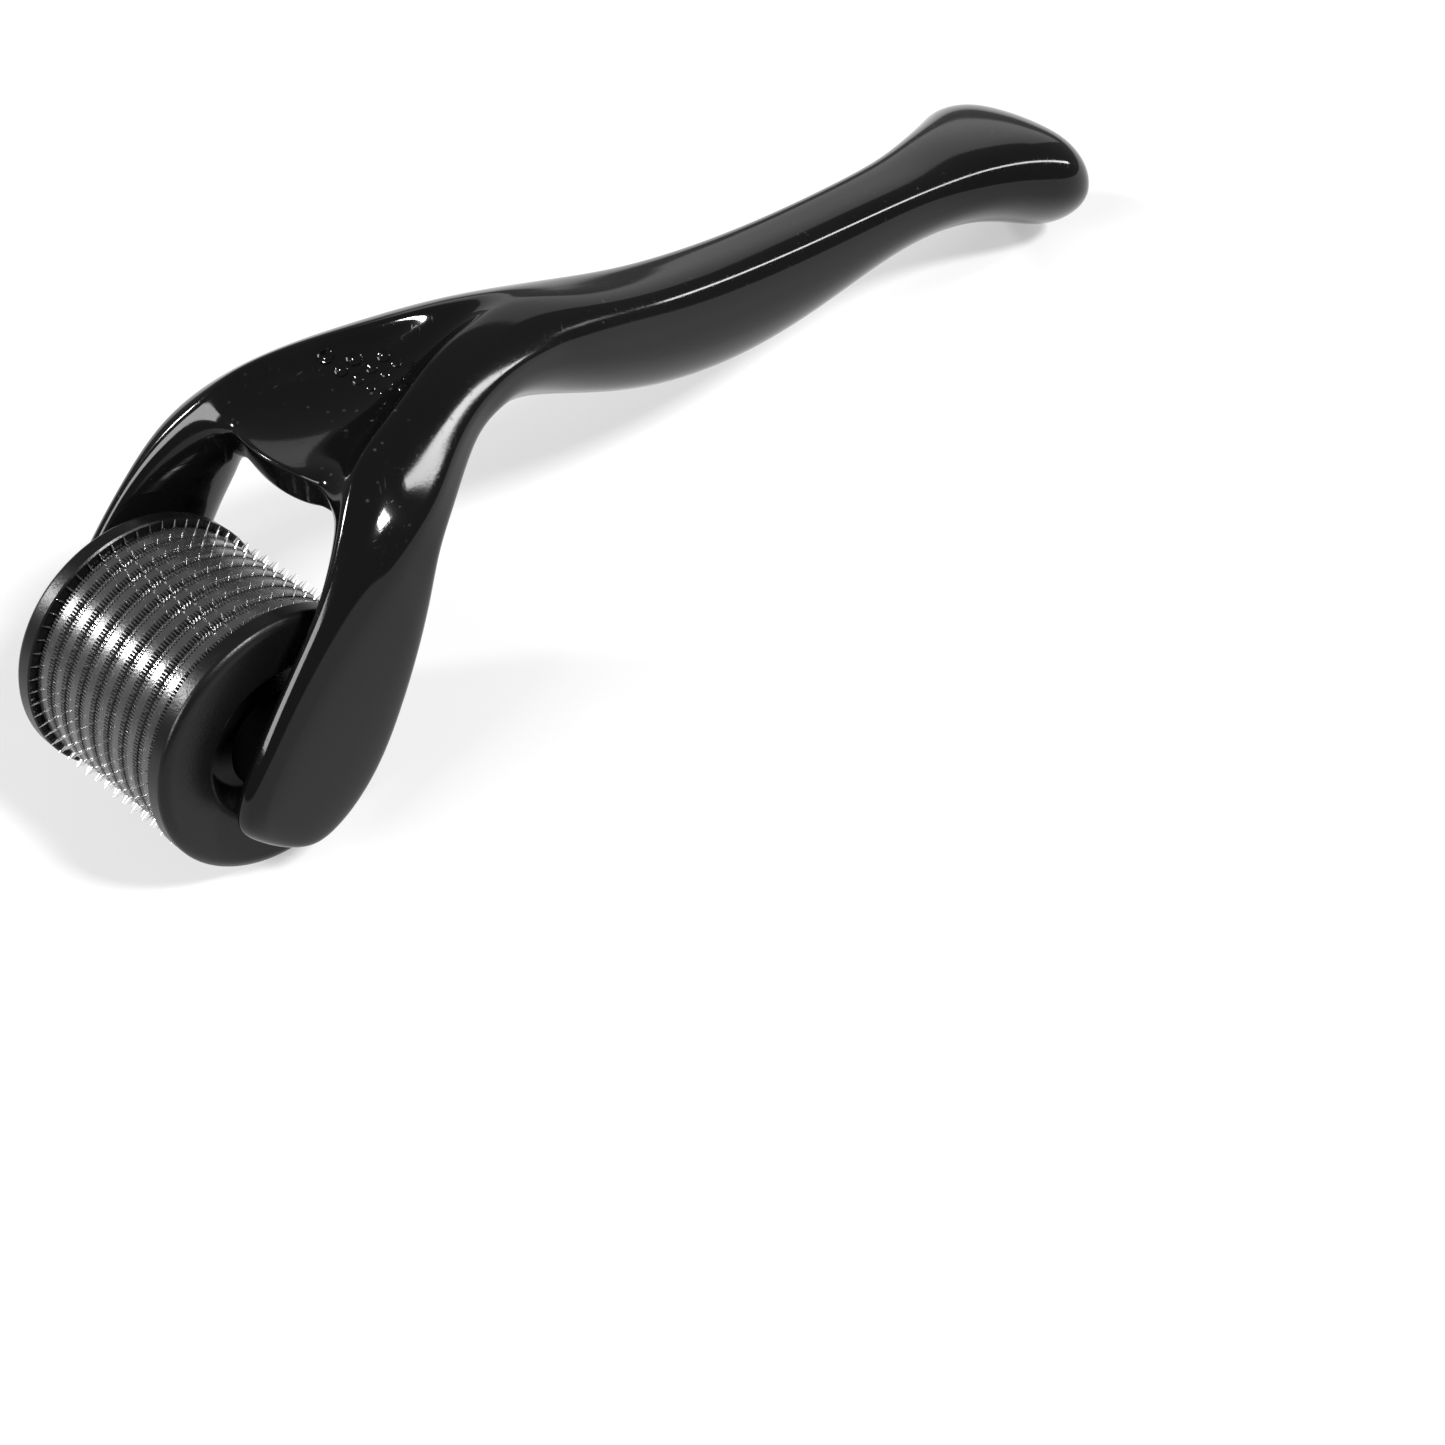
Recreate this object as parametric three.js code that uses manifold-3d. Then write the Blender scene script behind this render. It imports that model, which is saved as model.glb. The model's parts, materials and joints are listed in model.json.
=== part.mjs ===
// A derma roller: a one-piece moulded handle whose fork holds a free-spinning needle roller.
// Millimetres, +Z up. It lies on a table, on its needle tips and on its tail.
// +X runs along the handle to the tail, and Y is the roller's axis.

import * as THREE from 'three';
import { mergeVertices } from 'three/addons/utils/BufferGeometryUtils.js';
import Module from 'manifold-3d';

const wasm = await Module();
wasm.setup();

// Driving dimensions.
const LENGTH = 123; // from the needle tips to the end of the tail
const TIP_RADIUS = 11; // axle to needle tip
const ROWS = 9;
const NEEDLES_PER_ROW = 60;
const ROW_PITCH = 1.8;
const DISC_THICKNESS = 0.4;
const NEEDLE_ROOT_RADIUS = 10;
const SPACER_RADIUS = 10.3;
const STACK_GAP = 0.05; // between a disc and the spacer beside it

const CORE_RADIUS = 8; // the tube that the discs are threaded on
const CORE_WALL = 1;
const FIT_GAP = 0.15; // between the core and what slides on or in it

const CAP_RADIUS = 10.9;
const CAP_FLANGE_Y = ((ROWS - 1) * ROW_PITCH + DISC_THICKNESS) / 2 + STACK_GAP;
const CAP_OUTER_Y = 9.2; // the cap's flat face, from the middle of the roller
const CAP_PLUG_Y = 4.5; // how near the middle the cap's plug reaches
const CAP_EDGE = 0.4;
const RECESS_RADIUS = 6.5;
const RECESS_FLOOR_RADIUS = 5.2;
const RECESS_FLOOR_Y = 6.2;
const BEARING_RADIUS = 2.3;

const PIN_RADIUS = 2;
const PIN_TIP_Y = 4.6;
const BOSS_RADIUS = 4.2;
const BOSS_FACE_Y = 8;

const ARM_INNER_Y = 10.7; // the fork's inner faces beside the roller
const ARM_OUTER_Y = 13.2; // its flat outer faces
const GUSSET_INNER_Y = 7.2; // its inner faces above the roller
const ROLLER_ROOM = 11.7; // radius that the fork leaves free round the axle
const WEB_FRONT = 10; // the front edge of the web, from the axle
const WEB_UNDERSIDE = 23.6; // height above the table

// The two needles nearest the table straddle the lowest point, so the axle is a little low.
const AXLE_Z = TIP_RADIUS * Math.cos(Math.PI / NEEDLES_PER_ROW);
const AXLE_X = TIP_RADIUS - LENGTH / 2;

// The grip's sections: distance behind the axle, top, underside and half width.
const GRIP_SECTIONS = [
  [22, 29.2, 24.6, 6],
  [30, 28.2, 22, 5.6],
  [40, 25.2, 16.2, 5],
  [50, 21.8, 11.4, 4.6],
  [60, 19.4, 8.8, 4.4],
  [70, 17.6, 8.2, 4.3],
  [80, 16.2, 9, 4.4],
  [87, 15.4, 8.6, 5],
  [93, 14.8, 7.4, 7],
  [97.5, 14.3, 5.4, 9.3],
  [102, 13.4, 2.8, 10.1],
  [106, 11.6, 0.8, 9.1],
  [109.4, 8.8, 0.1, 6.6],
  [111.5, 5.6, 1.6, 2.8],
  [112, 4.2, 2.8, 0.8],
];
const SECTION_SIDES = 24;
const RINGS_PER_SECTION = 4;
const SQUARENESS = 2.2; // 2 is an ellipse, and more is squarer

const mouldedBlack = { color: 0x0b0b0c, roughness: 0.18, metalness: 0 };
const rollerBlack = { color: 0x121213, roughness: 0.3, metalness: 0 };
const spacerGrey = { color: 0x3a3a3c, roughness: 0.45, metalness: 0 };
const needleSteel = { color: 0xc2c4c8, roughness: 0.3, metalness: 1 };

function solid(geometry) {
  const bare = geometry.clone();
  bare.deleteAttribute('normal');
  bare.deleteAttribute('uv');
  const merged = mergeVertices(bare, 1e-4);
  const vertProperties = new Float32Array(merged.attributes.position.array);
  const triVerts = new Uint32Array(merged.index.array);
  return new wasm.Manifold(new wasm.Mesh({ numProp: 3, vertProperties, triVerts }));
}

function geometryOf(manifold) {
  const { vertProperties, triVerts } = manifold.getMesh();
  const geometry = new THREE.BufferGeometry();
  geometry.setAttribute('position', new THREE.BufferAttribute(new Float32Array(vertProperties), 3));
  geometry.setIndex(new THREE.BufferAttribute(new Uint32Array(triVerts), 1));
  geometry.computeVertexNormals();
  return geometry;
}

function node(name, geometry, finish) {
  const mesh = new THREE.Mesh(geometry, new THREE.MeshStandardMaterial(finish));
  mesh.name = name;
  return mesh;
}

// An outline of (x, z) points, pushed out to the same distance on both sides of y = 0.
function sideSolid(shape, halfWidth) {
  const geometry = new THREE.ExtrudeGeometry(shape, { depth: 2 * halfWidth, bevelEnabled: false });
  geometry.rotateX(Math.PI / 2);
  geometry.translate(0, halfWidth, 0);
  return solid(geometry);
}

function outline(points) {
  return new THREE.Shape(points.map(([across, up]) => new THREE.Vector2(across, up)));
}

// A smooth outline through the points, with straight ends.
function smoothOutline(points, divisions) {
  const curve = new THREE.SplineCurve(points.map(([across, up]) => new THREE.Vector2(across, up)));
  return new THREE.Shape(curve.getPoints(divisions));
}

// A cylinder along Y with its middle on the axle.
function axleCylinder(radius, fromY, toY, segments) {
  const geometry = new THREE.CylinderGeometry(radius, radius, toY - fromY, segments);
  geometry.translate(0, (fromY + toY) / 2, AXLE_Z);
  return solid(geometry);
}

// The arms and the palm as seen from the side.
function forkSideShape() {
  return smoothOutline([
    [-6.4, 12.5], [-6.8, 9.7], [-4.8, 5.7], [-0.2, 4.2], [4.4, 6], [8.4, 10.8], [11.2, 15.1],
    [13.9, 19.2], [17.6, 22.7], [22, 24.4], [27, 25.2], [31, 24], [31, 27.4], [26, 28.8],
    [19, 29.7], [13, 29.6], [9.4, 27.8], [7, 24.3], [3.4, 20.4], [-2, 16.3], [-6.4, 12.5],
  ], 72);
}

// Half of the fork as seen from above, mirrored about the middle.
function forkPlanShape() {
  const edge = [
    [-8, ARM_OUTER_Y], [10, ARM_OUTER_Y], [14, 12.4], [17, 11.3], [21, 9.3], [25, 7.4], [32, 5.6],
  ];
  const mirrored = edge.map(([along, across]) => [along, -across]).reverse();
  return outline([...edge, ...mirrored]);
}

// The fork as seen from the front, with the shoulders that slope up to the palm's two ridges.
function forkFrontShape() {
  const edge = [[ARM_OUTER_Y, 0], [ARM_OUTER_Y, 24], [12.2, 26.4], [9.8, 28.6], [7, 30], [4, 31]];
  const mirrored = edge.map(([across, up]) => [-across, up]).reverse();
  return outline([...edge, ...mirrored]);
}

function planSolid(shape) {
  const height = 40;
  const geometry = new THREE.ExtrudeGeometry(shape, { depth: height, bevelEnabled: false });
  return solid(geometry);
}

function frontSolid(shape) {
  const depth = 50;
  const geometry = new THREE.ExtrudeGeometry(shape, { depth, bevelEnabled: false });
  geometry.rotateX(Math.PI / 2);
  geometry.rotateZ(Math.PI / 2);
  geometry.translate(-depth / 4, 0, 0);
  return solid(geometry);
}

// The thumb dish between the palm's ridges, open towards the roller.
function dishSolid() {
  const geometry = new THREE.SphereGeometry(1, 32, 20);
  geometry.scale(16, 6.2, 6.8);
  geometry.translate(13, 0, 33);
  return solid(geometry);
}

// What is open between the arms: under the palm, in front of the web, and round the roller.
function forkRoom() {
  const narrow = outline([
    [-20, 50], [WEB_FRONT, 50], [WEB_FRONT, WEB_UNDERSIDE], [18, 22.9], [24, 20], [24, -5], [-20, -5],
  ]);
  const wide = outline([[-20, 20], [24, 20], [24, -5], [-20, -5]]);
  return sideSolid(narrow, GUSSET_INNER_Y)
    .add(sideSolid(wide, ARM_INNER_Y))
    .add(axleCylinder(ROLLER_ROOM, -ARM_INNER_Y, ARM_INNER_Y, 48));
}

// The stub pins that the roller turns on, each on a low boss inside its arm.
function stubPins() {
  const rootY = ARM_INNER_Y + 1;
  return [
    axleCylinder(PIN_RADIUS, PIN_TIP_Y, rootY, 20),
    axleCylinder(BOSS_RADIUS, BOSS_FACE_Y, rootY, 24),
    axleCylinder(PIN_RADIUS, -rootY, -PIN_TIP_Y, 20),
    axleCylinder(BOSS_RADIUS, -rootY, -BOSS_FACE_Y, 24),
  ];
}

// The long S-curved grip: a closed cylinder whose rings are laid on the sections.
function gripSolid() {
  const rings = (GRIP_SECTIONS.length - 1) * RINGS_PER_SECTION;
  const geometry = new THREE.CylinderGeometry(1, 1, 1, SECTION_SIDES, rings);
  const heights = GRIP_SECTIONS.map(([along, top, under]) => new THREE.Vector3(along, top, under));
  const halfWidths = GRIP_SECTIONS.map(([along, , , half]) => new THREE.Vector3(along, half, 0));
  const spine = new THREE.CatmullRomCurve3(heights);
  const widths = new THREE.CatmullRomCurve3(halfWidths);
  const position = geometry.attributes.position;
  for (let i = 0; i < position.count; i += 1) {
    const share = THREE.MathUtils.clamp(position.getY(i) + 0.5, 0, 1);
    const place = spine.getPoint(share);
    const halfWidth = widths.getPoint(share).y;
    const middle = (place.y + place.z) / 2;
    const halfHeight = (place.y - place.z) / 2;
    const reach = Math.hypot(position.getX(i), position.getZ(i));
    const angle = Math.atan2(position.getZ(i), position.getX(i));
    const across = Math.sign(Math.cos(angle)) * Math.abs(Math.cos(angle)) ** (2 / SQUARENESS);
    const up = Math.sign(Math.sin(angle)) * Math.abs(Math.sin(angle)) ** (2 / SQUARENESS);
    position.setXYZ(i, place.x, -halfWidth * reach * across, middle + halfHeight * reach * up);
  }
  return solid(geometry);
}

function handleGeometry() {
  const fork = sideSolid(forkSideShape(), ARM_OUTER_Y)
    .intersect(planSolid(forkPlanShape()))
    .intersect(frontSolid(forkFrontShape()))
    .subtract(forkRoom());
  const pins = stubPins().reduce((all, pin) => all.add(pin), fork);
  return geometryOf(pins.add(gripSolid()).subtract(dishSolid()));
}

// A stamped steel disc with its needles pointing outwards.
function needleDiscGeometry() {
  const shape = new THREE.Shape();
  const step = Math.PI / NEEDLES_PER_ROW;
  for (let i = 0; i < 2 * NEEDLES_PER_ROW; i += 1) {
    const radius = i % 2 ? TIP_RADIUS : NEEDLE_ROOT_RADIUS;
    const angle = i * step - Math.PI / 2;
    const along = radius * Math.cos(angle);
    const up = radius * Math.sin(angle);
    if (i === 0) shape.moveTo(along, up);
    else shape.lineTo(along, up);
  }
  const hole = new THREE.Path();
  hole.absarc(0, 0, CORE_RADIUS + FIT_GAP, 0, 2 * Math.PI, true);
  shape.holes.push(hole);
  const options = { depth: DISC_THICKNESS, bevelEnabled: false, curveSegments: 12 };
  const geometry = new THREE.ExtrudeGeometry(shape, options);
  geometry.rotateX(Math.PI / 2);
  geometry.translate(0, DISC_THICKNESS / 2, 0);
  return geometry;
}

// A ring turned round Y. The profile is (radius, y) points that close on themselves.
function turned(profile, segments) {
  const closed = [...profile, profile[0]].map(([radius, y]) => new THREE.Vector2(radius, y));
  return new THREE.LatheGeometry(closed, segments);
}

function spacerGeometry() {
  const half = (ROW_PITCH - DISC_THICKNESS) / 2 - STACK_GAP;
  const bore = CORE_RADIUS + FIT_GAP;
  return turned([[bore, -half], [SPACER_RADIUS, -half], [SPACER_RADIUS, half], [bore, half]], 36);
}

function coreGeometry() {
  const half = CAP_FLANGE_Y - STACK_GAP;
  const bore = CORE_RADIUS - CORE_WALL;
  return turned([[bore, -half], [CORE_RADIUS, -half], [CORE_RADIUS, half], [bore, half]], 36);
}

// An end cap on the +Y side: flange, plug, dished recess and bearing hole.
function capGeometry() {
  const plug = CORE_RADIUS - CORE_WALL - FIT_GAP;
  return turned([
    [BEARING_RADIUS, CAP_PLUG_Y],
    [plug, CAP_PLUG_Y],
    [plug, CAP_FLANGE_Y],
    [CAP_RADIUS, CAP_FLANGE_Y],
    [CAP_RADIUS, CAP_OUTER_Y - CAP_EDGE],
    [CAP_RADIUS - CAP_EDGE, CAP_OUTER_Y],
    [RECESS_RADIUS, CAP_OUTER_Y],
    [RECESS_FLOOR_RADIUS, RECESS_FLOOR_Y],
    [BEARING_RADIUS, RECESS_FLOOR_Y],
  ], 40);
}

const dermaRoller = new THREE.Group();
dermaRoller.position.x = AXLE_X;
dermaRoller.add(node('handle', handleGeometry(), mouldedBlack));

const roller = new THREE.Group();
roller.position.z = AXLE_Z;
dermaRoller.add(roller);

roller.add(node('roller_core', coreGeometry(), rollerBlack));
const leftCap = node('roller_cap_left', capGeometry(), rollerBlack);
leftCap.rotation.x = Math.PI;
const rightCap = node('roller_cap_right', capGeometry(), rollerBlack);
roller.add(leftCap, rightCap);

for (let row = 0; row < ROWS; row += 1) {
  const disc = node(`needle_disc_${row + 1}`, needleDiscGeometry(), needleSteel);
  disc.position.y = (row - (ROWS - 1) / 2) * ROW_PITCH;
  roller.add(disc);
}
for (let gap = 0; gap < ROWS - 1; gap += 1) {
  const spacer = node(`spacer_ring_${gap + 1}`, spacerGeometry(), spacerGrey);
  spacer.position.y = (gap + 1 - ROWS / 2) * ROW_PITCH;
  roller.add(spacer);
}

export default dermaRoller;
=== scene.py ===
# %% [markdown]
# # A derma roller
# A derma roller is a short drum of fine steel needles that turns freely in the fork of a
# plastic handle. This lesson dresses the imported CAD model: every visible part is modelled
# again at full detail, in metres and in the CAD model's own frame, and rides on a CAD body.

# %% Load the frame
import json
import math

import bmesh
import bpy
from mathutils import Matrix, Quaternion, Vector


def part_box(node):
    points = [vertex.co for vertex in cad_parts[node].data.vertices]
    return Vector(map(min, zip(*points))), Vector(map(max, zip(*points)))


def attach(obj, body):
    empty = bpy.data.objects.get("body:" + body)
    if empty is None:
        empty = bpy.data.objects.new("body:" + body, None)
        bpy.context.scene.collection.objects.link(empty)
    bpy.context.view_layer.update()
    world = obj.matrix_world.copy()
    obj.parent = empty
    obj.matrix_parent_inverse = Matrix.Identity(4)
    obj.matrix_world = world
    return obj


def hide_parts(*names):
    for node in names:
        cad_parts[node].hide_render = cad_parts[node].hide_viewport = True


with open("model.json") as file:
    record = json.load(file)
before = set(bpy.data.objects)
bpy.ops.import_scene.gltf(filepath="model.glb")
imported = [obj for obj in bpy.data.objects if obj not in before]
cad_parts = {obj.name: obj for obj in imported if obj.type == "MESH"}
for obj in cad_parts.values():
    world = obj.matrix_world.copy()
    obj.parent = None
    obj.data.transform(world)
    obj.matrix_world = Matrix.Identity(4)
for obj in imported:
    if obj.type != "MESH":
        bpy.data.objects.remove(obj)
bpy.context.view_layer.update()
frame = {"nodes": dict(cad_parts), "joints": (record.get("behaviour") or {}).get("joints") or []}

# %% [markdown]
# ## The working frame
# The roller's axle is the natural place to measure from, because the fork, the caps and the
# needles are all built round it. Its place could be typed in, but it is read from the joint,
# so that this lesson and the CAD model can't disagree. Every size below is in millimetres:
# `along` runs from the axle to the tail, `across` along the axle, `up` from the table.

# %% The axle and a point in millimetres
MM = 0.001
AXLE = Vector(frame["joints"][0]["pos_m"])


def at(along, across, up):
    """A point in the frame, from millimetres measured from the axle and the table."""
    return Vector((AXLE.x + along * MM, across * MM, up * MM))


print("axle at", tuple(AXLE))

# %% [markdown]
# ## The camera
# The tool lies across the view and the camera looks down at it from the roller's end. A
# camera could be aimed with a Track To constraint, but that always holds it level. A camera
# is also a point and three directions: to its right, up, and back towards the eye. A matrix
# made from those directions keeps the view's small tilt.

# %% Camera
CAMERA_AZIMUTH = math.radians(-45.5)
CAMERA_ELEVATION = math.radians(46.4)
CAMERA_TILT = math.radians(-3.7)
CAMERA_PLACE = (-47.8, -102.1, 114.3)
CAMERA_LENS = 47.65
SENSOR_WIDTH = 36.0
NEAR_CLIP = 0.005

across_view = Vector((math.cos(CAMERA_AZIMUTH), math.sin(CAMERA_AZIMUTH), 0))
back = Vector((
    math.sin(CAMERA_AZIMUTH) * math.cos(CAMERA_ELEVATION),
    -math.cos(CAMERA_AZIMUTH) * math.cos(CAMERA_ELEVATION),
    math.sin(CAMERA_ELEVATION),
))
turn = Matrix.Rotation(CAMERA_TILT, 3, back)
right = turn @ across_view
up = turn @ back.cross(across_view)

camera = bpy.data.objects.new("camera", bpy.data.cameras.new("camera"))
camera.data.lens = CAMERA_LENS
camera.data.sensor_width = SENSOR_WIDTH
camera.data.clip_start = NEAR_CLIP
camera.matrix_world = Matrix.Translation(at(*CAMERA_PLACE)) @ Matrix((
    (right.x, up.x, back.x), (right.y, up.y, back.y), (right.z, up.z, back.z),
)).to_4x4()
bpy.context.scene.collection.objects.link(camera)
bpy.context.scene.camera = camera
print("camera at", tuple(camera.location))

# %% [markdown]
# ## Shared effects
# Real plastic and steel are never one flat colour. They could be painted with pictures, but
# patterns worked out from Object coordinates need no files and stay sharp at any distance.
# Two effects are used by several materials, so each is a node group with named inputs: fine
# dust that settles on faces that look up, and hair-line scratches with a slow waviness from
# the mould. A group hands out only masks, values and normals, and the shader itself stays in
# the material.

# %% Node helpers
# The colour sockets of a Mix node, which it holds beside those for plain numbers.
MIX_FIRST, MIX_SECOND, MIX_RESULT = 6, 7, 2


def new_group(name, inputs, outputs):
    """An empty shader node group with float inputs, and outputs of the given kinds."""
    group = bpy.data.node_groups.new(name, "ShaderNodeTree")
    for label, value in inputs:
        socket = group.interface.new_socket(label, in_out="INPUT", socket_type="NodeSocketFloat")
        socket.default_value = value
    for label, kind in outputs:
        group.interface.new_socket(label, in_out="OUTPUT", socket_type=kind)
    return group


def add_node(tree, kind, **values):
    """A node with its properties set. A name that is a socket sets that input."""
    node = tree.nodes.new(kind)
    for key, value in values.items():
        if hasattr(node, key):
            setattr(node, key, value)
        else:
            node.inputs[key.replace("_", " ").title()].default_value = value
    return node


def join(tree, source, output, target, socket):
    tree.links.new(source.outputs[output], target.inputs[socket])


def remap(tree, source, output, low, high, to_low, to_high):
    """A map range node that turns low to high into to_low to to_high."""
    node = tree.nodes.new("ShaderNodeMapRange")
    limits = {"From Min": low, "From Max": high, "To Min": to_low, "To Max": to_high}
    for socket, value in limits.items():
        node.inputs[socket].default_value = value
    join(tree, source, output, node, "Value")
    return node


def times(tree, first, first_output, second, second_output):
    """A node that multiplies two values."""
    node = add_node(tree, "ShaderNodeMath", operation="MULTIPLY")
    join(tree, first, first_output, node, 0)
    join(tree, second, second_output, node, 1)
    return node


def tint(tree, first, second):
    """A node that mixes two colours. Either may be None, when it is linked afterwards."""
    node = tree.nodes.new("ShaderNodeMix")
    node.data_type = "RGBA"
    for socket, colour in ((MIX_FIRST, first), (MIX_SECOND, second)):
        if colour:
            node.inputs[socket].default_value = (*colour, 1)
    return node


print("node helpers ready")

# %% [markdown]
# Dust is a scatter of tiny dots. A Voronoi texture gives one dot to a cell, a slow noise
# thins them out in patches, and the normal keeps them off faces that look sideways or down.

# %% Settled dust
def dust_group():
    """Mask of fine specks that settle on faces that look up."""
    tree = new_group("settled_dust", [("Scale", 900.0), ("Amount", 0.5)],
                     [("Mask", "NodeSocketFloat")])
    entry, leave = tree.nodes.new("NodeGroupInput"), tree.nodes.new("NodeGroupOutput")
    place = tree.nodes.new("ShaderNodeTexCoord")
    specks = add_node(tree, "ShaderNodeTexVoronoi", feature="F1")
    join(tree, place, "Object", specks, "Vector")
    join(tree, entry, "Scale", specks, "Scale")
    dots = remap(tree, specks, "Distance", 0.06, 0.16, 1.0, 0.0)
    patches = add_node(tree, "ShaderNodeTexNoise", scale=120.0, detail=3.0)
    join(tree, place, "Object", patches, "Vector")
    where = remap(tree, patches, "Fac", 0.5, 0.72, 0.0, 1.0)
    shape = tree.nodes.new("ShaderNodeNewGeometry")
    split = tree.nodes.new("ShaderNodeSeparateXYZ")
    join(tree, shape, "Normal", split, "Vector")
    facing_up = remap(tree, split, "Z", 0.2, 0.9, 0.0, 1.0)
    patchy = times(tree, dots, "Result", where, "Result")
    settled = times(tree, patchy, "Value", facing_up, "Result")
    scaled = times(tree, settled, "Value", entry, "Amount")
    join(tree, scaled, "Value", leave, "Mask")
    return tree


settled_dust = dust_group()
print("node group", settled_dust.name)

# %% [markdown]
# A scratch is noise that is squeezed hard in two of its three directions, so that its blobs
# become lines. Two such layers at different angles cross. The lines are bumped inwards, and
# a slow, weak bump under them gives the reflections their moulded waviness.

# %% Hair-line scratches
SCRATCH_ANGLES = (0.35, -0.9)
SIDE_TILT = 0.6


def scratch_group():
    """Mask of thin crossing scratches, and a normal with them and the mould's waviness."""
    tree = new_group(
        "hairlines",
        [("Scale", 260.0), ("Stretch", 14.0), ("Depth", 0.02), ("Waviness", 0.03)],
        [("Mask", "NodeSocketFloat"), ("Normal", "NodeSocketVector")],
    )
    entry, leave = tree.nodes.new("NodeGroupInput"), tree.nodes.new("NodeGroupOutput")
    place = tree.nodes.new("ShaderNodeTexCoord")
    masks = []
    for angle in SCRATCH_ANGLES:
        turned = tree.nodes.new("ShaderNodeMapping")
        turned.inputs["Rotation"].default_value = (angle, angle * SIDE_TILT, angle)
        join(tree, place, "Object", turned, "Vector")
        long = tree.nodes.new("ShaderNodeCombineXYZ")
        long.inputs["X"].default_value = 1.0
        join(tree, entry, "Stretch", long, "Y")
        join(tree, entry, "Stretch", long, "Z")
        drawn = add_node(tree, "ShaderNodeVectorMath", operation="MULTIPLY")
        join(tree, turned, "Vector", drawn, 0)
        join(tree, long, "Vector", drawn, 1)
        lines = add_node(tree, "ShaderNodeTexNoise", detail=2.0)
        join(tree, drawn, "Vector", lines, "Vector")
        join(tree, entry, "Scale", lines, "Scale")
        masks.append(remap(tree, lines, "Fac", 0.66, 0.74, 0.0, 1.0))
    both = add_node(tree, "ShaderNodeMath", operation="MAXIMUM")
    join(tree, masks[0], "Result", both, 0)
    join(tree, masks[1], "Result", both, 1)
    join(tree, both, "Value", leave, "Mask")
    waves = add_node(tree, "ShaderNodeTexNoise", scale=70.0, detail=1.0)
    join(tree, place, "Object", waves, "Vector")
    wave_bump = add_node(tree, "ShaderNodeBump", distance=0.001)
    join(tree, entry, "Waviness", wave_bump, "Strength")
    join(tree, waves, "Fac", wave_bump, "Height")
    line_bump = add_node(tree, "ShaderNodeBump", distance=0.00005, invert=True)
    join(tree, entry, "Depth", line_bump, "Strength")
    join(tree, both, "Value", line_bump, "Height")
    join(tree, wave_bump, "Normal", line_bump, "Normal")
    join(tree, line_bump, "Normal", leave, "Normal")
    return tree


hairlines = scratch_group()
print("node group", hairlines.name)

# %% [markdown]
# ## The finishes
# The handle is injection-moulded in glossy black, so nearly all of its look is reflection:
# a very dark base, a low roughness that rises in the scratches, and a faint waviness. The
# caps are the same plastic from a finer-grained mould, so they are a satin. The spacer rings
# are greyer. Three materials could be built by hand, but they differ only in their numbers,
# so one function builds them all.

# %% Plastics
DUST_COLOUR = (0.32, 0.31, 0.3)
PLASTIC_IOR = 1.5
SCRATCH_ROUGHNESS = 0.12


def plastic(name, dark, light, rough, dusty, grain, gloss):
    """A moulded plastic: tone, roughness, dust, grain depth and strength of its mirror."""
    material = bpy.data.materials.new(name)
    material.use_nodes = True
    tree = material.node_tree
    shader = tree.nodes["Principled BSDF"]
    shader.inputs["IOR"].default_value = PLASTIC_IOR
    shader.inputs["Specular IOR Level"].default_value = gloss
    place = tree.nodes.new("ShaderNodeTexCoord")

    cloud = add_node(tree, "ShaderNodeTexNoise", scale=90.0, detail=4.0)
    join(tree, place, "Object", cloud, "Vector")
    tone = tint(tree, dark, light)
    join(tree, cloud, "Fac", tone, 0)

    dust = tree.nodes.new("ShaderNodeGroup")
    dust.node_tree = settled_dust
    dust.inputs["Amount"].default_value = dusty
    dusted = tint(tree, None, DUST_COLOUR)
    join(tree, dust, "Mask", dusted, 0)
    join(tree, tone, MIX_RESULT, dusted, MIX_FIRST)
    join(tree, dusted, MIX_RESULT, shader, "Base Color")

    lines = tree.nodes.new("ShaderNodeGroup")
    lines.node_tree = hairlines
    even = remap(tree, cloud, "Fac", 0.3, 0.7, rough * 0.8, rough * 1.25)
    worn = add_node(tree, "ShaderNodeMath", operation="MULTIPLY_ADD")
    join(tree, lines, "Mask", worn, 0)
    worn.inputs[1].default_value = SCRATCH_ROUGHNESS
    join(tree, even, "Result", worn, 2)
    join(tree, worn, "Value", shader, "Roughness")

    fine = add_node(tree, "ShaderNodeTexNoise", scale=5200.0, detail=2.0)
    join(tree, place, "Object", fine, "Vector")
    bump = add_node(tree, "ShaderNodeBump", distance=0.00004, strength=grain)
    join(tree, fine, "Fac", bump, "Height")
    join(tree, lines, "Normal", bump, "Normal")
    join(tree, bump, "Normal", shader, "Normal")
    return material


gloss_black = plastic(
    "moulded_gloss_black", dark=(0.0015, 0.0015, 0.0017), light=(0.003, 0.003, 0.0033),
    rough=0.08, dusty=0.12, grain=0.03, gloss=0.22,
)
satin_black = plastic(
    "roller_satin_black", dark=(0.002, 0.002, 0.0022), light=(0.004, 0.004, 0.0043),
    rough=0.28, dusty=0.15, grain=0.3, gloss=0.2,
)
spacer_grey = plastic(
    "spacer_dark_grey", dark=(0.018, 0.018, 0.019), light=(0.03, 0.03, 0.031),
    rough=0.22, dusty=0.15, grain=0.3, gloss=0.5,
)
print("plastics", gloss_black.name, satin_black.name, spacer_grey.name)

# %% [markdown]
# The needles are bright drawn steel: a metal, whose colour is the colour of its reflection.
# One noise drives both its tone and its roughness, so that the dull spots are the dark ones.

# %% Drawn steel
STEEL_DULL = (0.58, 0.59, 0.6)
STEEL_BRIGHT = (0.82, 0.83, 0.84)


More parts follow.
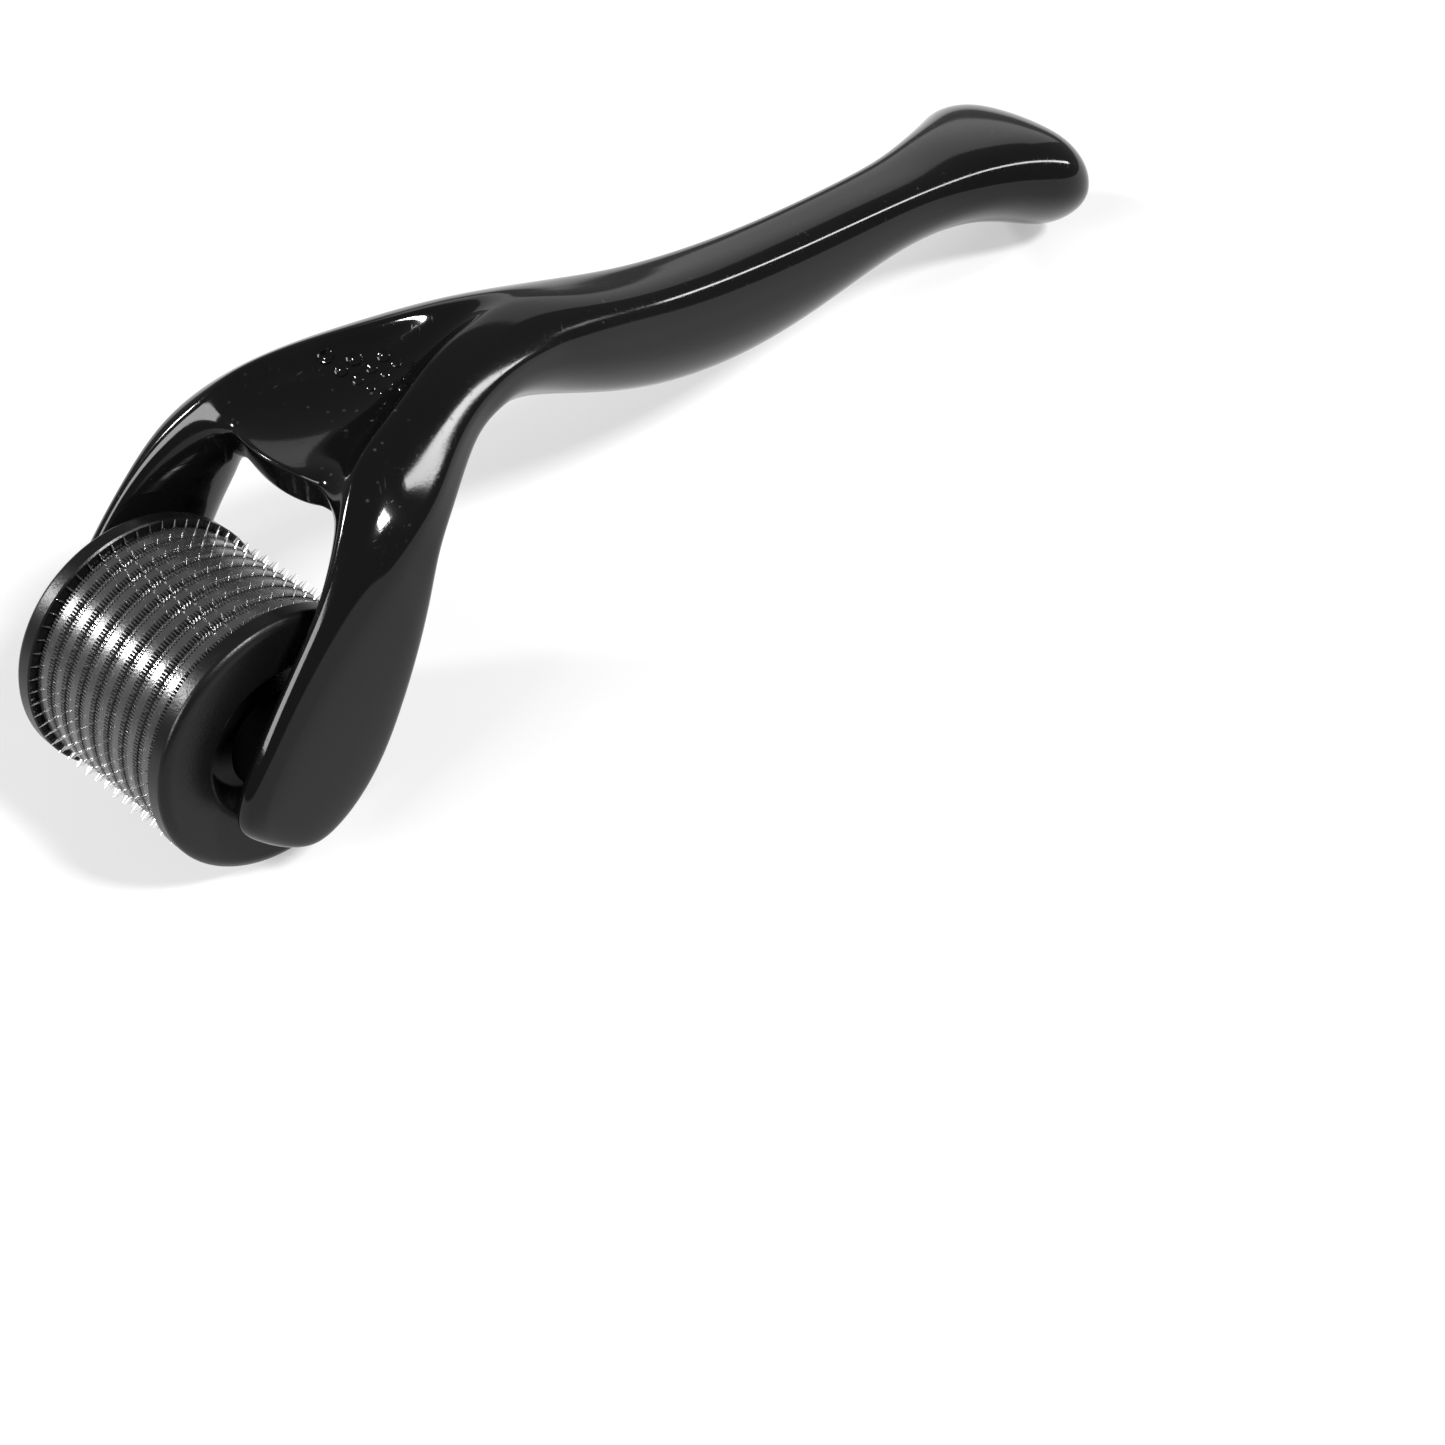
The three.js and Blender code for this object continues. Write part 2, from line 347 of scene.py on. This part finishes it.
def steel(name):
    """Bright drawn steel with a fine grain and a few dull spots."""
    material = bpy.data.materials.new(name)
    material.use_nodes = True
    tree = material.node_tree
    shader = tree.nodes["Principled BSDF"]
    shader.inputs["Metallic"].default_value = 1.0
    place = tree.nodes.new("ShaderNodeTexCoord")
    spots = add_node(tree, "ShaderNodeTexNoise", scale=700.0, detail=3.0)
    join(tree, place, "Object", spots, "Vector")
    tone = tint(tree, STEEL_DULL, STEEL_BRIGHT)
    join(tree, spots, "Fac", tone, 0)
    join(tree, tone, MIX_RESULT, shader, "Base Color")
    matt = remap(tree, spots, "Fac", 0.3, 0.7, 0.32, 0.18)
    join(tree, matt, "Result", shader, "Roughness")
    grain = add_node(tree, "ShaderNodeTexNoise", scale=6000.0, detail=1.0)
    join(tree, place, "Object", grain, "Vector")
    bump = add_node(tree, "ShaderNodeBump", distance=0.00002, strength=0.3)
    join(tree, grain, "Fac", bump, "Height")
    join(tree, bump, "Normal", shader, "Normal")
    return material


needle_steel = steel("drawn_needle_steel")
print("metal", needle_steel.name)

# %% [markdown]
# ## Turning a mesh into a piece
# Each finished mesh becomes an object at the origin that rides on one CAD body, and most of
# them take the place of a CAD node. Shading is smooth, and faces that meet sharply could be
# marked by hand, but an angle finds them on every piece alike.

# %% Piece helper
SHARP_ANGLE = math.radians(35)


def finish_piece(mesh, name, body, material, nodes=(), sharp=SHARP_ANGLE):
    """Make an object of the bmesh, give it its finish and fasten it to a CAD body."""
    data = bpy.data.meshes.new(name)
    mesh.to_mesh(data)
    mesh.free()
    data.materials.append(material)
    data.shade_smooth()
    if sharp:
        data.set_sharp_from_angle(angle=sharp)
    piece = bpy.data.objects.new(name, data)
    bpy.context.scene.collection.objects.link(piece)
    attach(piece, body)
    if nodes:
        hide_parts(*nodes)
    print(name, "faces", len(data.polygons))
    return piece


print("faces sharper than", round(math.degrees(SHARP_ANGLE)), "degrees stay apart")

# %% [markdown]
# ## The handle
# Handle, palm and fork are one flowing moulding without a straight edge. It could be sculpted,
# or joined from lofts and blocks whose seams are then filleted. A subdivision surface is
# simpler: a coarse cage of a few hundred faces that the modifier rounds. Only one half is
# modelled. A run of eight points goes round the body from the middle of the underside to the
# middle of the top, and is extruded from the front of the palm to the tail.

# %% The palm's rings
# Points of a ring: 0 underside, 1 under edge, 2 side's lower edge, 3 side's crease,
# 4 shoulder, 5 ridge, 6 dish wall, 7 middle of the top.
FRONT_RING = [
    (10.2, 0, 23.7), (11.2, 4.6, 23.5), (15.4, 12.9, 21.4), (13.2, 13.0, 25.2),
    (11.9, 11.0, 27.3), (11.1, 8.5, 28.6), (10.9, 6.4, 27.3), (9.4, 0, 27.3),
]
PALM_RINGS = [
    [(13.6, 0, 23.5), (14.2, 5.4, 23.3), (18.0, 11.6, 23.0), (16.4, 11.8, 25.8),
     (15.2, 9.5, 28.5), (14.2, 7.2, 29.9), (13.9, 5.7, 27.3), (13.2, 0, 26.2)],
    [(18.5, 0, 23.4), (19.0, 5.6, 23.4), (21.8, 9.2, 24.2), (19.9, 9.8, 26.5),
     (19.3, 8.1, 29.0), (18.6, 5.8, 30.1), (18.4, 4.3, 27.2), (18.2, 0, 25.7)],
    [(24.0, 0, 23.2), (24.2, 4.8, 23.4), (25.0, 7.4, 24.9), (24.0, 7.8, 27.0),
     (23.8, 6.1, 29.3), (23.8, 3.3, 30.1), (23.8, 2.2, 27.8), (24.0, 0, 26.8)],
    [(30.0, 0, 21.4), (30.0, 3.8, 22.2), (30.0, 6.3, 24.6), (29.6, 6.1, 26.9),
     (29.8, 4.3, 28.8), (30.2, 1.5, 29.5), (30.4, 0.8, 29.2), (30.6, 0, 29.1)],
    [(35.5, 0, 18.4), (35.5, 3.0, 19.2), (35.5, 5.4, 22.4), (35.5, 5.1, 25.4),
     (35.5, 3.4, 27.2), (35.5, 1.6, 27.9), (35.5, 0.8, 28.1), (35.5, 0, 28.1)],
]
print("rings of the palm", len(PALM_RINGS) + 1)

# %% [markdown]
# Behind the palm the rings need no points of their own. A section's outline is given once, as
# shares of its half width and height, and each ring only says how wide, high and low it is.

# %% The grip's and the tail's rings
# Distance along, top, underside and half width of each ring.
GRIP_SECTIONS = [
    (42, 25.0, 14.8, 5.0), (50, 22.0, 11.0, 4.7), (60, 19.5, 8.4, 4.5), (70, 17.7, 7.8, 4.4),
    (80, 16.3, 8.4, 4.4), (87, 15.4, 8.0, 4.8),
]
TAIL_SECTIONS = [
    (93, 15.0, 6.5, 6.3), (98, 14.4, 4.4, 8.0), (102.2, 13.6, 2.2, 10.1), (105.6, 12.5, 0.4, 10.0),
    (108.2, 10.4, 0.0, 7.8), (109.6, 7.6, 1.6, 4.2),
]


# The grip is a keystone with a crease near its narrow top, and the tail a flat oval that is
# widest above its middle.
GRIP_OUTLINE = [
    (0, 0), (0.55, 0.03), (1.04, 0.4), (0.94, 0.8), (0.72, 0.95), (0.46, 1), (0.2, 1.01), (0, 1.01),
]
TAIL_OUTLINE = [
    (0, 0), (0.5, 0.04), (0.98, 0.42), (0.97, 0.72), (0.78, 0.9), (0.54, 0.99), (0.27, 1.02), (0, 1.03),
]


def section_ring(outline, along, top, under, half):
    """The eight points of a ring, from its outline and its size."""
    height = top - under
    return [(along, half * wide, under + height * high) for wide, high in outline]


body_rings = PALM_RINGS + [section_ring(GRIP_OUTLINE, *section) for section in GRIP_SECTIONS]
body_rings += [section_ring(TAIL_OUTLINE, *section) for section in TAIL_SECTIONS]
print("rings along the body", len(body_rings) + 1)

# %% [markdown]
# ## The fork's arm
# The arm could be a piece of its own, but then its joint with the palm would show. It starts
# from the side of the front ring instead: its points 1 to 6 become a closed tube of six
# points, which leans forward and down to a rounded end beside the axle.

# %% The arm's rings
# Points of a ring: 1 inner back, 2 outer back, 3 crease, 4 front outer, 5 front inner,
# 6 inner front.
ARM_RINGS = [
    [(12.9, 7.2, 20.6), (13.6, 13.3, 17.9), (9.9, 13.4, 23.0),
     (8.5, 12.4, 25.6), (7.6, 10.2, 25.8), (8.0, 8.6, 23.8)],
    [(10.8, 9.9, 16.2), (11.3, 13.4, 14.1), (6.3, 13.5, 20.6),
     (4.9, 12.8, 22.6), (4.0, 11.4, 22.6), (4.6, 10.4, 21.0)],
    [(7.4, 10.7, 11.4), (8.6, 13.4, 9.9), (2.5, 13.5, 17.9),
     (1.2, 12.9, 19.6), (0.3, 11.6, 19.3), (0.9, 10.7, 17.8)],
    [(4.4, 10.7, 7.1), (5.3, 13.4, 5.6), (-1.1, 13.5, 15.0),
     (-2.3, 12.9, 16.4), (-3.2, 11.7, 15.8), (-2.7, 10.7, 14.4)],
    [(0.3, 10.7, 4.2), (0.4, 13.4, 2.8), (-4.0, 13.5, 12.4),
     (-5.2, 12.9, 13.3), (-6.0, 11.7, 12.5), (-5.5, 10.7, 11.4)],
    [(-4.0, 10.7, 4.5), (-4.2, 13.3, 3.4), (-6.6, 13.4, 8.7),
     (-7.4, 12.6, 9.1), (-7.7, 11.8, 8.6), (-7.0, 10.7, 8.0)],
]
print("rings along the arm", len(ARM_RINGS) + 1)

# %% [markdown]
# The cage grows from one run of vertices. Each ring is the run before it, extruded once and
# put on the next points. Two faces close the body's ends, and one closes the arm's.

# %% The cage
def extend(mesh, run, points, closed=False):
    """Extrude a run of vertices once and put the new run on the points."""
    pairs = list(zip(run, run[1:])) + ([(run[-1], run[0])] if closed else [])
    edges = [mesh.edges.get(pair) for pair in pairs]
    made = bmesh.ops.extrude_edge_only(mesh, edges=edges)
    fresh = {item for item in made["geom"] if isinstance(item, bmesh.types.BMVert)}
    moved = []
    for vertex, point in zip(run, points):
        twin = next(edge.other_vert(vertex) for edge in vertex.link_edges
                    if edge.other_vert(vertex) in fresh)
        twin.co = at(*point)
        moved.append(twin)
    return moved


cage = bmesh.new()
front = bmesh.ops.create_vert(cage, co=at(*FRONT_RING[0]))["vert"]
for point in FRONT_RING[1:]:
    step = bmesh.ops.extrude_vert_indiv(cage, verts=[front[-1]])["verts"][0]
    step.co = at(*point)
    front.append(step)

bmesh.ops.contextual_create(cage, geom=[front[0], front[1], front[6], front[7]])
runs = [front]
for points in body_rings:
    runs.append(extend(cage, runs[-1], points))
bmesh.ops.contextual_create(cage, geom=runs[-1])

arms = [front[1:7]]
for points in ARM_RINGS:
    arms.append(extend(cage, arms[-1], points, closed=True))
bmesh.ops.contextual_create(cage, geom=arms[-1])
print("half cage faces", len(cage.faces))

# %% [markdown]
# A subdivision surface rounds every edge alike. A crease weight between 0 and 1 pulls the
# surface towards an edge, for the tight bends along the arms, the ridges, the grip and the
# web's front edge. Extra rings of faces would do the same, but a weight is easier to tune.
# Then the half is mirrored over the middle plane and the modifier rounds the whole.

# %% Creases, mirror and rounding
CREASE = cage.edges.layers.float.new("crease_edge")
SIDE_CREASE, GRIP_CREASE, BACK_CREASE = 0.45, 0.2, 0.3
RIDGE_CREASE, WEB_CREASE, FORK_CREASE = 0.35, 0.7, 0.25
PALM_RUNS = len(PALM_RINGS)
CREASED_RUNS = PALM_RUNS + len(GRIP_SECTIONS) + 1
SEAM_GAP = 0.01 * MM
ROUNDINGS = 4


def crease_between(first, second, weight):
    cage.edges.get((first, second))[CREASE] = weight


for place, (before, after) in enumerate(zip(runs[:CREASED_RUNS], runs[1:])):
    crease_between(before[3], after[3], SIDE_CREASE if place < PALM_RUNS else GRIP_CREASE)
    if place < PALM_RUNS - 1:
        crease_between(before[2], after[2], BACK_CREASE)
        crease_between(before[5], after[5], RIDGE_CREASE)
for before, after in zip(arms, arms[1:]):
    crease_between(before[2], after[2], SIDE_CREASE)
    crease_between(before[1], after[1], BACK_CREASE)
    crease_between(before[4], after[4], FORK_CREASE)
for first, second in ((0, 1), (1, 6), (6, 7)):
    crease_between(front[first], front[second], WEB_CREASE)

half_cage = cage.verts[:] + cage.edges[:] + cage.faces[:]
bmesh.ops.mirror(cage, geom=half_cage, axis="Y", merge_dist=SEAM_GAP)
for vertex in cage.verts:
    if abs(vertex.co.y) < 2 * SEAM_GAP:
        vertex.co.y = 0
bmesh.ops.recalc_face_normals(cage, faces=cage.faces)
handle = finish_piece(
    cage, "handle_moulding", "handle", gloss_black, ["handle"], sharp=0,
)
rounding = handle.modifiers.new("rounding", "SUBSURF")
rounding.levels = rounding.render_levels = ROUNDINGS

# %% [markdown]
# ## Thumb dots
# The far end of the thumb dish carries a cluster of small embossed bubbles, each a ring with
# a dimple in it. A bump in the material would not catch the light at a low angle, so they are
# real shapes. A bubble is a profile turned once, in its own size, and laid on the dish: a ray
# dropped on the rounded handle gives its height and its tilt.

# %% Dots
# Place along and across, and radius.
DOTS = [
    (19.8, 4.4, 0.68), (21.5, 3.2, 0.68), (20.2, 3.3, 0.58), (23.4, 2.0, 0.55), (22.1, 2.0, 0.5),
    (20.7, 2.1, 0.5), (23.8, 1.0, 0.46), (24.4, 0.0, 0.42), (22.6, 1.0, 0.42), (23.3, -0.6, 0.42),
    (21.0, 0.9, 0.42), (21.3, -0.2, 0.42), (22.1, -1.4, 0.42), (22.4, -0.3, 0.38),
]
DOT_PROFILE = [(0, 0.05), (0.35, 0.06), (0.58, 0.2), (0.76, 0.24), (0.92, 0.14), (1.0, -0.15)]
DOT_STEPS = 20
ABOVE_HANDLE = 40
DOWN = (0, 0, -1)
MERGE_GAP = 0.002 * MM

bpy.context.view_layer.update()
rounded_handle = handle.evaluated_get(bpy.context.evaluated_depsgraph_get())
dots = bmesh.new()
for along, across, radius in DOTS:
    spot, normal = rounded_handle.ray_cast(at(along, across, ABOVE_HANDLE), DOWN)[1:3]
    run = [bmesh.ops.create_vert(dots, co=(far * radius * MM, 0, high * radius * MM))["vert"][0]
           for far, high in DOT_PROFILE]
    edges = []
    for pair in zip(run, run[1:]):
        edges += bmesh.ops.contextual_create(dots, geom=pair)["edges"]
    bmesh.ops.spin(dots, geom=run + edges, cent=(0, 0, 0), axis=(0, 0, 1),
                   angle=2 * math.pi, steps=DOT_STEPS, use_merge=True)
    fresh = [vertex for vertex in dots.verts if not vertex.tag]
    lay = Matrix.Translation(spot) @ normal.to_track_quat("Z", "Y").to_matrix().to_4x4()
    bmesh.ops.transform(dots, matrix=lay, verts=fresh)
    for vertex in fresh:
        vertex.tag = True
bmesh.ops.remove_doubles(dots, verts=dots.verts, dist=MERGE_GAP)
bmesh.ops.recalc_face_normals(dots, faces=dots.faces)
finish_piece(dots, "thumb_dots", "handle", gloss_black)

# %% [markdown]
# ## Turned pieces
# Pins, caps, spacers and discs are all round, so each is half an outline that is spun round
# the axle. Cylinders cut from one another would give the same shapes, but an outline holds
# every step and chamfer in one list. Spinning can turn a shape inside out, so its doubles are
# merged and its normals recalculated.

# %% Turned shapes
def turned(profile, steps):
    """Spin a profile of (radius, across) points, in millimetres, round the axle."""
    mesh = bmesh.new()
    run = []
    for radius, across in profile:
        point = Vector((AXLE.x, across * MM, AXLE.z + radius * MM))
        run += bmesh.ops.create_vert(mesh, co=point)["vert"]
    edges = []
    for pair in zip(run, run[1:]):
        edges += bmesh.ops.contextual_create(mesh, geom=pair)["edges"]
    bmesh.ops.spin(mesh, geom=run + edges, cent=AXLE, axis=(0, 1, 0),
                   angle=2 * math.pi, steps=steps, use_merge=True)
    bmesh.ops.remove_doubles(mesh, verts=mesh.verts, dist=MERGE_GAP)
    bmesh.ops.recalc_face_normals(mesh, faces=mesh.faces)
    return mesh


def flip_across(mesh):
    """The same mesh on the other side of the middle plane."""
    bmesh.ops.scale(mesh, vec=(1, -1, 1), verts=mesh.verts)
    bmesh.ops.recalc_face_normals(mesh, faces=mesh.faces)
    return mesh


print("doubles closer than", MERGE_GAP / MM, "mm are merged")

# %% [markdown]
# ## Stub pins
# The roller turns on two short pins that are moulded inside the fork, each on a low boss that
# keeps the cap off the arm. The boss's root is buried in the arm, so the two need no joining.

# %% Pins
# Radii, and places across from the middle of the roller.
PIN_RADIUS = 1.95
PIN_TIP = 4.6
PIN_TAPER = 0.35
BOSS_RADIUS = 4.2
BOSS_FACE = 8.0
BOSS_EDGE = 0.3
BOSS_ROOT = 11.3
PIN_STEPS = 48
PIN_PROFILE = [
    (0, PIN_TIP), (PIN_RADIUS - PIN_TAPER, PIN_TIP), (PIN_RADIUS, PIN_TIP + PIN_TAPER),
    (PIN_RADIUS, BOSS_FACE - 0.3), (PIN_RADIUS + 0.2, BOSS_FACE), (BOSS_RADIUS - BOSS_EDGE, BOSS_FACE),
    (BOSS_RADIUS, BOSS_FACE + BOSS_EDGE), (BOSS_RADIUS + 0.1, BOSS_ROOT), (0, BOSS_ROOT),
]
for side in ("left", "right"):
    pin = turned(PIN_PROFILE, PIN_STEPS)
    if side == "left":
        flip_across(pin)
    finish_piece(pin, "stub_pin_" + side, "handle", gloss_black)

# %% [markdown]
# ## End caps
# A cap closes each end of the drum. It has a smooth rim beside the first row of needles, a
# small rounded edge, a flat face and a deep cone-shaped recess round the pin. A Bevel modifier
# could round the edge, but a few more points of the outline do it with fewer faces. Points
# close to both ends of each flat stretch keep the smooth shading off the flat.

# %% Caps
cap_low, cap_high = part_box("roller_cap_right")
CAP_RADIUS = (cap_high.z - cap_low.z) / 2 / MM
CAP_OUTER = cap_high.y / MM
CAP_INNER = 7.45
PLUG_RADIUS = 6.85
PLUG_END = 4.5
BEARING_RADIUS = 2.3
RECESS_FLOOR = 6.2
CAP_STEPS = 128
CAP_PROFILE = [
    (BEARING_RADIUS, PLUG_END), (PLUG_RADIUS, PLUG_END), (PLUG_RADIUS, CAP_INNER),
    (CAP_RADIUS - 0.12, CAP_INNER), (CAP_RADIUS, CAP_INNER + 0.12), (CAP_RADIUS, CAP_INNER + 0.25),
    (CAP_RADIUS, CAP_OUTER - 0.6), (CAP_RADIUS, CAP_OUTER - 0.45), (CAP_RADIUS - 0.12, CAP_OUTER - 0.25),
    (CAP_RADIUS - 0.5, CAP_OUTER - 0.05), (CAP_RADIUS - 0.75, CAP_OUTER), (CAP_RADIUS - 0.95, CAP_OUTER),
    (6.95, CAP_OUTER), (6.75, CAP_OUTER), (6.5, CAP_OUTER - 0.1), (6.35, CAP_OUTER - 0.35),
    (6.25, CAP_OUTER - 0.55), (5.3, RECESS_FLOOR + 0.2), (5.0, RECESS_FLOOR),
    (BEARING_RADIUS, RECESS_FLOOR), (BEARING_RADIUS, PLUG_END),
]
for side in ("left", "right"):
    cap = turned(CAP_PROFILE, CAP_STEPS)
    if side == "left":
        flip_across(cap)
    finish_piece(cap, "end_cap_" + side, "roller", satin_black, ["roller_cap_" + side])

# %% [markdown]
# ## Spacer rings
# Between two needle discs sits a plastic ring. Its middle is a smooth band, and both rims
# are cut into a fine comb of teeth, so that the needles stand between them. A gap could be
# cut out of the ring for each tooth, but with 240 of them that is slow. The ring is spun with
# three columns to a tooth instead, and every third column of both rims is then sunk.

# %% Spacers
NEEDLE_ROWS = 9
ROW_PITCH = 1.8
TEETH = 240
COLUMNS_PER_TOOTH = 3
COLUMNS = COLUMNS_PER_TOOTH * TEETH
SPACER_OUTER = 10.3
SPACER_BORE = 8.15
COMB_DEPTH = 0.4
BAND_HALF = 0.34
ROW_GAP = 0.12
SLACK = 0.05  # how far from a size a point may lie and still be found by it


def sink_comb(mesh, middle):
    """Move every third column of the rim vertices in towards the axle."""
    pitch = 2 * math.pi / COLUMNS
    for vertex in mesh.verts:
        across = abs(vertex.co.y - middle)
        arm = Vector((vertex.co.x - AXLE.x, 0, vertex.co.z - AXLE.z))
        on_rim = across > (BAND_HALF + SLACK) * MM and arm.length > (SPACER_OUTER - SLACK) * MM
        column = round(math.atan2(arm.x, arm.z) / pitch)
        if on_rim and column % COLUMNS_PER_TOOTH == 0:
            vertex.co -= arm.normalized() * COMB_DEPTH * MM


for gap in range(1, NEEDLE_ROWS):
    low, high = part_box(f"spacer_ring_{gap}")
    middle = (low.y + high.y) / 2
    centre = middle / MM
    half = ROW_PITCH / 2 - ROW_GAP
    outline = [
        (SPACER_BORE, centre - half), (SPACER_OUTER, centre - half),
        (SPACER_OUTER, centre - BAND_HALF), (SPACER_OUTER, centre + BAND_HALF),
        (SPACER_OUTER, centre + half), (SPACER_BORE, centre + half), (SPACER_BORE, centre - half),
    ]
    ring = turned(outline, COLUMNS)
    sink_comb(ring, middle)
    node = f"spacer_ring_{gap}"
    finish_piece(ring, f"comb_spacer_{gap}", "roller", spacer_grey, [node])

# %% [markdown]
# ## Needle discs
# A row of needles is stamped from one thin steel disc: sixty slender points on a ring. A
# needle could be modelled once and copied round, but then it would only touch its disc. The
# ring is spun instead, and every fourth face of its rim is narrowed, extruded outwards and
# drawn to a point. Neighbouring rows are half a needle apart, which gives the drum its
# checkered look.

# %% Discs
NEEDLES = 60
NEEDLE_TIP = 10.98
NEEDLE_ROOT = 10.0
DISC_HALF = 0.1
TIP_SHARE = 0.12
NEEDLE_INSET = 0.045
FACES_PER_NEEDLE = 4
DISC_STEPS = FACES_PER_NEEDLE * NEEDLES


def rim_faces(mesh, shift):
    """Every fourth face of a disc's rim, the first one shifted by some faces."""
    chosen = []
    for face in mesh.faces:
        arm = face.calc_center_median() - AXLE
        arm.y = 0
        column = math.floor(math.atan2(arm.x, arm.z) / (2 * math.pi / DISC_STEPS))
        if arm.length > (NEEDLE_ROOT - SLACK) * MM and column % FACES_PER_NEEDLE == shift:
            chosen.append(face)
    return chosen


for row in range(1, NEEDLE_ROWS + 1):
    low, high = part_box(f"needle_disc_{row}")
    centre = (low.y + high.y) / 2 / MM
    outline = [
        (SPACER_BORE, centre - DISC_HALF), (NEEDLE_ROOT, centre - DISC_HALF),
        (NEEDLE_ROOT, centre + DISC_HALF), (SPACER_BORE, centre + DISC_HALF),
        (SPACER_BORE, centre - DISC_HALF),
    ]
    disc = turned(outline, DISC_STEPS)
    rim = rim_faces(disc, FACES_PER_NEEDLE // 2 * (row % 2))
    bmesh.ops.inset_individual(disc, faces=rim, thickness=NEEDLE_INSET * MM)
    needles = bmesh.ops.extrude_discrete_faces(disc, faces=rim)["faces"]
    for face in needles:
        middle = face.calc_center_median()
        outward = Vector((middle.x - AXLE.x, 0, middle.z - AXLE.z)).normalized()
        tip = Vector((AXLE.x, middle.y, AXLE.z)) + outward * NEEDLE_TIP * MM
        for vertex in face.verts:
            vertex.co = tip + (vertex.co - middle) * TIP_SHARE
    node = f"needle_disc_{row}"
    finish_piece(disc, f"needle_row_{row}", "roller", needle_steel, [node])

# %% [markdown]
# ## The hidden core
# The tube that the discs are threaded on can't be seen, so a new mesh would add nothing. Its
# CAD node stays and only gets its finish.

# %% Core
core = frame["nodes"]["roller_core"]
core.data.materials.clear()
core.data.materials.append(satin_black)
print(core.name, "finish", satin_black.name)

# %% [markdown]
# ## The table
# The tool lies on a plain white table, and its glossy sides mirror it. So the table has to
# look white without being much brighter than white. About half of its brightness is light of
# its own, which also keeps the shadows pale.

# %% Floor
FLOOR_HALF = 3.0
FLOOR_GREY = (0.28, 0.28, 0.28, 1)
FLOOR_FINISH = {
    "Base Color": FLOOR_GREY, "Roughness": 0.8, "Specular IOR Level": 0.2,
    "Emission Color": (1, 1, 1, 1), "Emission Strength": 0.45,
}
floor_mesh = bmesh.new()
bmesh.ops.create_grid(floor_mesh, x_segments=1, y_segments=1, size=FLOOR_HALF)
floor_data = bpy.data.meshes.new("floor")
floor_mesh.to_mesh(floor_data)
floor_mesh.free()
floor = bpy.data.objects.new("floor", floor_data)
floor_paint = bpy.data.materials.new("floor_white")
floor_paint.use_nodes = True
for socket, value in FLOOR_FINISH.items():
    floor_paint.node_tree.nodes["Principled BSDF"].inputs[socket].default_value = value
floor_data.materials.append(floor_paint)
bpy.context.scene.collection.objects.link(floor)
print("floor", 2 * FLOOR_HALF, "m wide")

# %% [markdown]
# ## The light
# Gloss black shows little but what it mirrors, so each light is placed for the highlight that
# it draws, not for the brightness that it gives. Sun and point lights would draw hard dots.
# Area lights draw soft ones: a small window on the arm, a long strip on the shoulder and
# along the grip, a box on the far arm, a window on the drum, and a dim panel on the grip's
# and the tail's top. The room itself is a plain, dim grey.

# %% Lights
ROOM_STRENGTH = 0.22
bpy.context.scene.view_settings.view_transform = "Standard"
world = bpy.data.worlds.new("room")
world.use_nodes = True
world.node_tree.nodes["Background"].inputs["Color"].default_value = (1, 1, 1, 1)
world.node_tree.nodes["Background"].inputs["Strength"].default_value = ROOM_STRENGTH
bpy.context.scene.world = world
LIGHT_TARGET = at(30, 0, 10)


def soft_box(name, direction, distance, width, height, power, roll):
    """An area light that looks at the tool from a direction, rolled by some degrees."""
    light = bpy.data.lights.new(name, "AREA")
    light.shape = "RECTANGLE"
    light.size, light.size_y = width, height
    light.energy = power
    lamp = bpy.data.objects.new(name, light)
    towards = Vector(direction).normalized()
    lamp.location = LIGHT_TARGET + towards * distance
    facing = towards.to_track_quat("Z", "Y") @ Quaternion((0, 0, 1), math.radians(roll))
    lamp.rotation_euler = facing.to_euler()
    bpy.context.scene.collection.objects.link(lamp)


# Name, direction, distance, width, height, power in watts and roll in degrees.
SOFT_BOXES = [
    ("key_window", (0.2, -0.66, 0.72), 1.2, 0.14, 0.2, 24.0, 0),
    ("right_strip", (0.73, -0.46, 0.48), 1.0, 0.06, 0.55, 3.4, 35),
    ("left_box", (-0.8, 0.05, 0.55), 1.0, 0.5, 0.36, 10.0, 0),
    ("back_window", (-0.48, 0.7, 0.53), 1.2, 0.12, 0.14, 10.0, 0),
    ("far_panel", (0.8, 0.5, 0.35), 1.5, 1.2, 0.6, 1.8, 0),
]
for box in SOFT_BOXES:
    soft_box(*box)
print("soft boxes", len(SOFT_BOXES))
